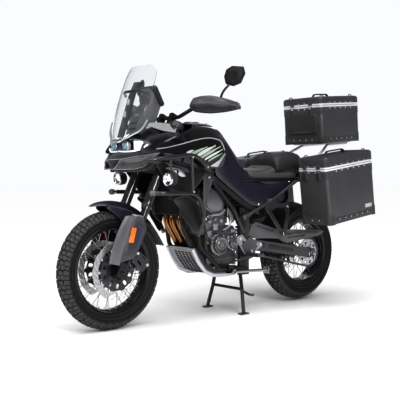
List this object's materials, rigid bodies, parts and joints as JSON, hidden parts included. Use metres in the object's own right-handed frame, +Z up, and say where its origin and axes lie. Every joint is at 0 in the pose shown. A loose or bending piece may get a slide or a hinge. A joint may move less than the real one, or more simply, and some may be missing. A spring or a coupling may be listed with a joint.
{
  "type": "adventure motorcycle",
  "caption": "Tall touring motorcycle on its centre stand, with windscreen, spoked block-tread tyres, crash bars, hand guards and metal luggage cases with hinged lids",
  "frame": {"origin": "on the ground, under the middle of the whole machine's box, on the centre stand", "axes": "+X forward, +Y to the rider's left, +Z up"},
  "size_m": [2.3242, 0.977, 1.466],
  "materials": {
    "black_frame": "satin black powder coat",
    "alloy": "cast and machined aluminium",
    "dark_alloy": "dark grey cast aluminium",
    "steel": "brushed steel",
    "pipe_steel": "heat-tinted steel pipe",
    "black_plastic": "grained black plastic",
    "navy_plastic": "matte blue-black paint",
    "gloss_black": "gloss black paint with slanted stripes",
    "gloss_plastic": "gloss black plastic",
    "clear_screen": "clear polycarbonate",
    "lamp": "clear lamp lens",
    "seat_cover": "grained black seat cover",
    "case_black": "black coated aluminium sheet with silver seam band",
    "tyre": "block-tread tyre",
    "rim_black": "satin black rim",
    "grip_rubber": "black rubber"
  },
  "bodies": {
    "frame": {"main_frame": "black_frame", "subframe": "black_frame", "engine": "dark_alloy", "exhaust_pipes": "pipe_steel", "silencer": "steel", "bash_plate": "alloy", "radiator": "black_frame", "side_shrouds": "gloss_plastic", "fuel_tank": "gloss_black", "side_covers": "navy_plastic", "nose_fairing": "gloss_plastic", "headlight": "lamp", "windscreen": "clear_screen", "instrument_panel": "black_plastic", "crash_bars": "black_frame", "rider_seat": "seat_cover", "passenger_seat": "seat_cover", "tail_section": "black_plastic", "luggage_rack": "alloy", "pannier_frames": "black_frame", "swingarm": "alloy", "rear_shock": "steel", "rear_hugger": "black_plastic", "drive_chain": "steel", "chain_guard": "alloy", "rider_footpegs": "alloy", "passenger_footpegs": "black_frame", "rear_caliper": "black_frame", "top_case_body": "case_black", "left_pannier_body": "case_black", "right_pannier_body": "case_black"},
    "steering": {"triple_clamps": "dark_alloy", "fork_tubes": "black_frame", "fork_legs": "dark_alloy", "fork_guards": "navy_plastic", "front_fender": "navy_plastic", "front_calipers": "black_frame", "handlebar": "black_frame", "hand_controls": "grip_rubber", "hand_guards": "black_plastic", "mirrors": "black_plastic"},
    "front_wheel": {"front_tyre": "tyre", "front_rim": "rim_black", "front_hub": "rim_black", "front_spokes": "steel", "front_discs": "steel"},
    "rear_wheel": {"rear_tyre": "tyre", "rear_rim": "rim_black", "rear_hub": "rim_black", "rear_spokes": "steel", "rear_sprocket": "steel", "rear_disc": "steel"},
    "top_lid": {"top_case_lid": "case_black"},
    "left_lid": {"left_pannier_lid": "case_black"},
    "right_lid": {"right_pannier_lid": "case_black"},
    "fuel_cap": {"fuel_cap": "gloss_black"},
    "centre_stand": {"centre_stand": "black_frame"},
    "side_stand": {"side_stand": "black_frame"}
  },
  "joints": [
    {"name": "steering", "type": "hinge", "parent": "frame", "child": "steering", "pos_m": [0.79653, 0, 0.31083], "axis": [-0.4226, 0, 0.9063], "range_deg": [-36, 36]},
    {"name": "front_wheel_spin", "type": "hinge", "parent": "steering", "child": "front_wheel", "pos_m": [0.8355, 0, 0.329], "axis": [0, 1, 0], "continuous": true},
    {"name": "rear_wheel_spin", "type": "hinge", "parent": "frame", "child": "rear_wheel", "pos_m": [-0.6955, 0, 0.329], "axis": [0, 1, 0], "continuous": true},
    {"name": "top_case_lid", "type": "hinge", "parent": "frame", "child": "top_lid", "pos_m": [-0.72503, 0, 1.31035], "axis": [0, 1, 0], "range_deg": [0, 85]},
    {"name": "left_pannier_lid", "type": "hinge", "parent": "frame", "child": "left_lid", "pos_m": [-0.42641, 0.3515, 0.87957], "axis": [0, 1, 0], "range_deg": [0, 75]},
    {"name": "right_pannier_lid", "type": "hinge", "parent": "frame", "child": "right_lid", "pos_m": [-0.42641, -0.3515, 0.87957], "axis": [0, 1, 0], "range_deg": [0, 75]},
    {"name": "fuel_cap", "type": "hinge", "parent": "frame", "child": "fuel_cap", "pos_m": [0.29, 0, 1.1636], "axis": [0, 1, 0], "range_deg": [0, 95]},
    {"name": "centre_stand", "type": "hinge", "parent": "frame", "child": "centre_stand", "pos_m": [-0.05, 0, 0.262], "axis": [0, 1, 0], "range_deg": [0, 86]},
    {"name": "side_stand", "type": "hinge", "parent": "frame", "child": "side_stand", "pos_m": [0.062, 0.17, 0.268], "axis": [0, -1, 0], "range_deg": [0, 92]}
  ]
}
